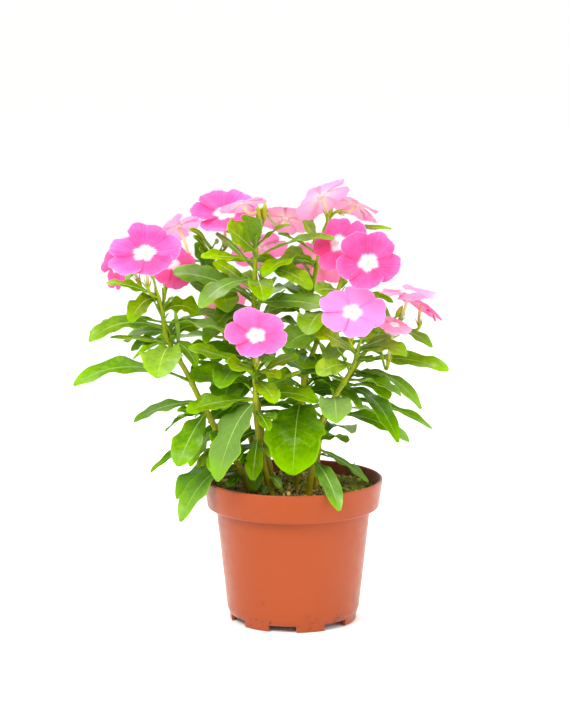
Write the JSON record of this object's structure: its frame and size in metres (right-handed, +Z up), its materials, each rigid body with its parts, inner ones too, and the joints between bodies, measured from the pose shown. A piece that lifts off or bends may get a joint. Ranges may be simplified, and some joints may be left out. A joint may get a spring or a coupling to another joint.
{
  "type": "potted rosy periwinkle",
  "caption": "Flowering rosy periwinkle with upright leafy stems and flat pink blooms, in a round terracotta-coloured plastic nursery pot with a banded rim and a slotted foot.",
  "frame": {"origin": "centre of the underside of the whole plant's bounding box, on the ground plane that the pot's foot ring rests on", "axes": "+Z up; -Y towards the viewer of the picture, the front of the plant; +X to the viewer's right"},
  "size_m": [0.2446, 0.1784, 0.2983],
  "materials": {
    "pot": "satin",
    "soil": "matte",
    "leaf": "satin",
    "petal_pink": "matte",
    "petal_deep": "matte",
    "petal_pale": "matte"
  },
  "bodies": {
    "root": {"pot": "pot", "soil": "soil", "stem_centre": "leaf", "stem_front": "leaf", "stem_left": "leaf", "stem_leftback": "leaf", "stem_back": "leaf", "stem_tall": "leaf", "stem_right": "leaf", "stem_far": "leaf", "bloom_left_front": "petal_pink", "bloom_left_inner": "petal_deep", "bloom_left_outer": "petal_deep", "bloom_upper_left": "petal_pink", "bloom_pale_left": "petal_pale", "bloom_top_left": "petal_pale", "bloom_top_centre": "petal_pale", "bloom_top": "petal_pale", "bloom_top_right": "petal_pale", "bloom_right_front": "petal_deep", "bloom_right_inner": "petal_deep", "bloom_right_middle": "petal_pink", "bloom_centre_front": "petal_pink", "bloom_far_top": "petal_pale", "bloom_far_right": "petal_deep", "bloom_far_low": "petal_pale", "bloom_back_left": "petal_pink", "bloom_back_right": "petal_deep", "bloom_back_low": "petal_deep"}
  },
  "joints": []
}
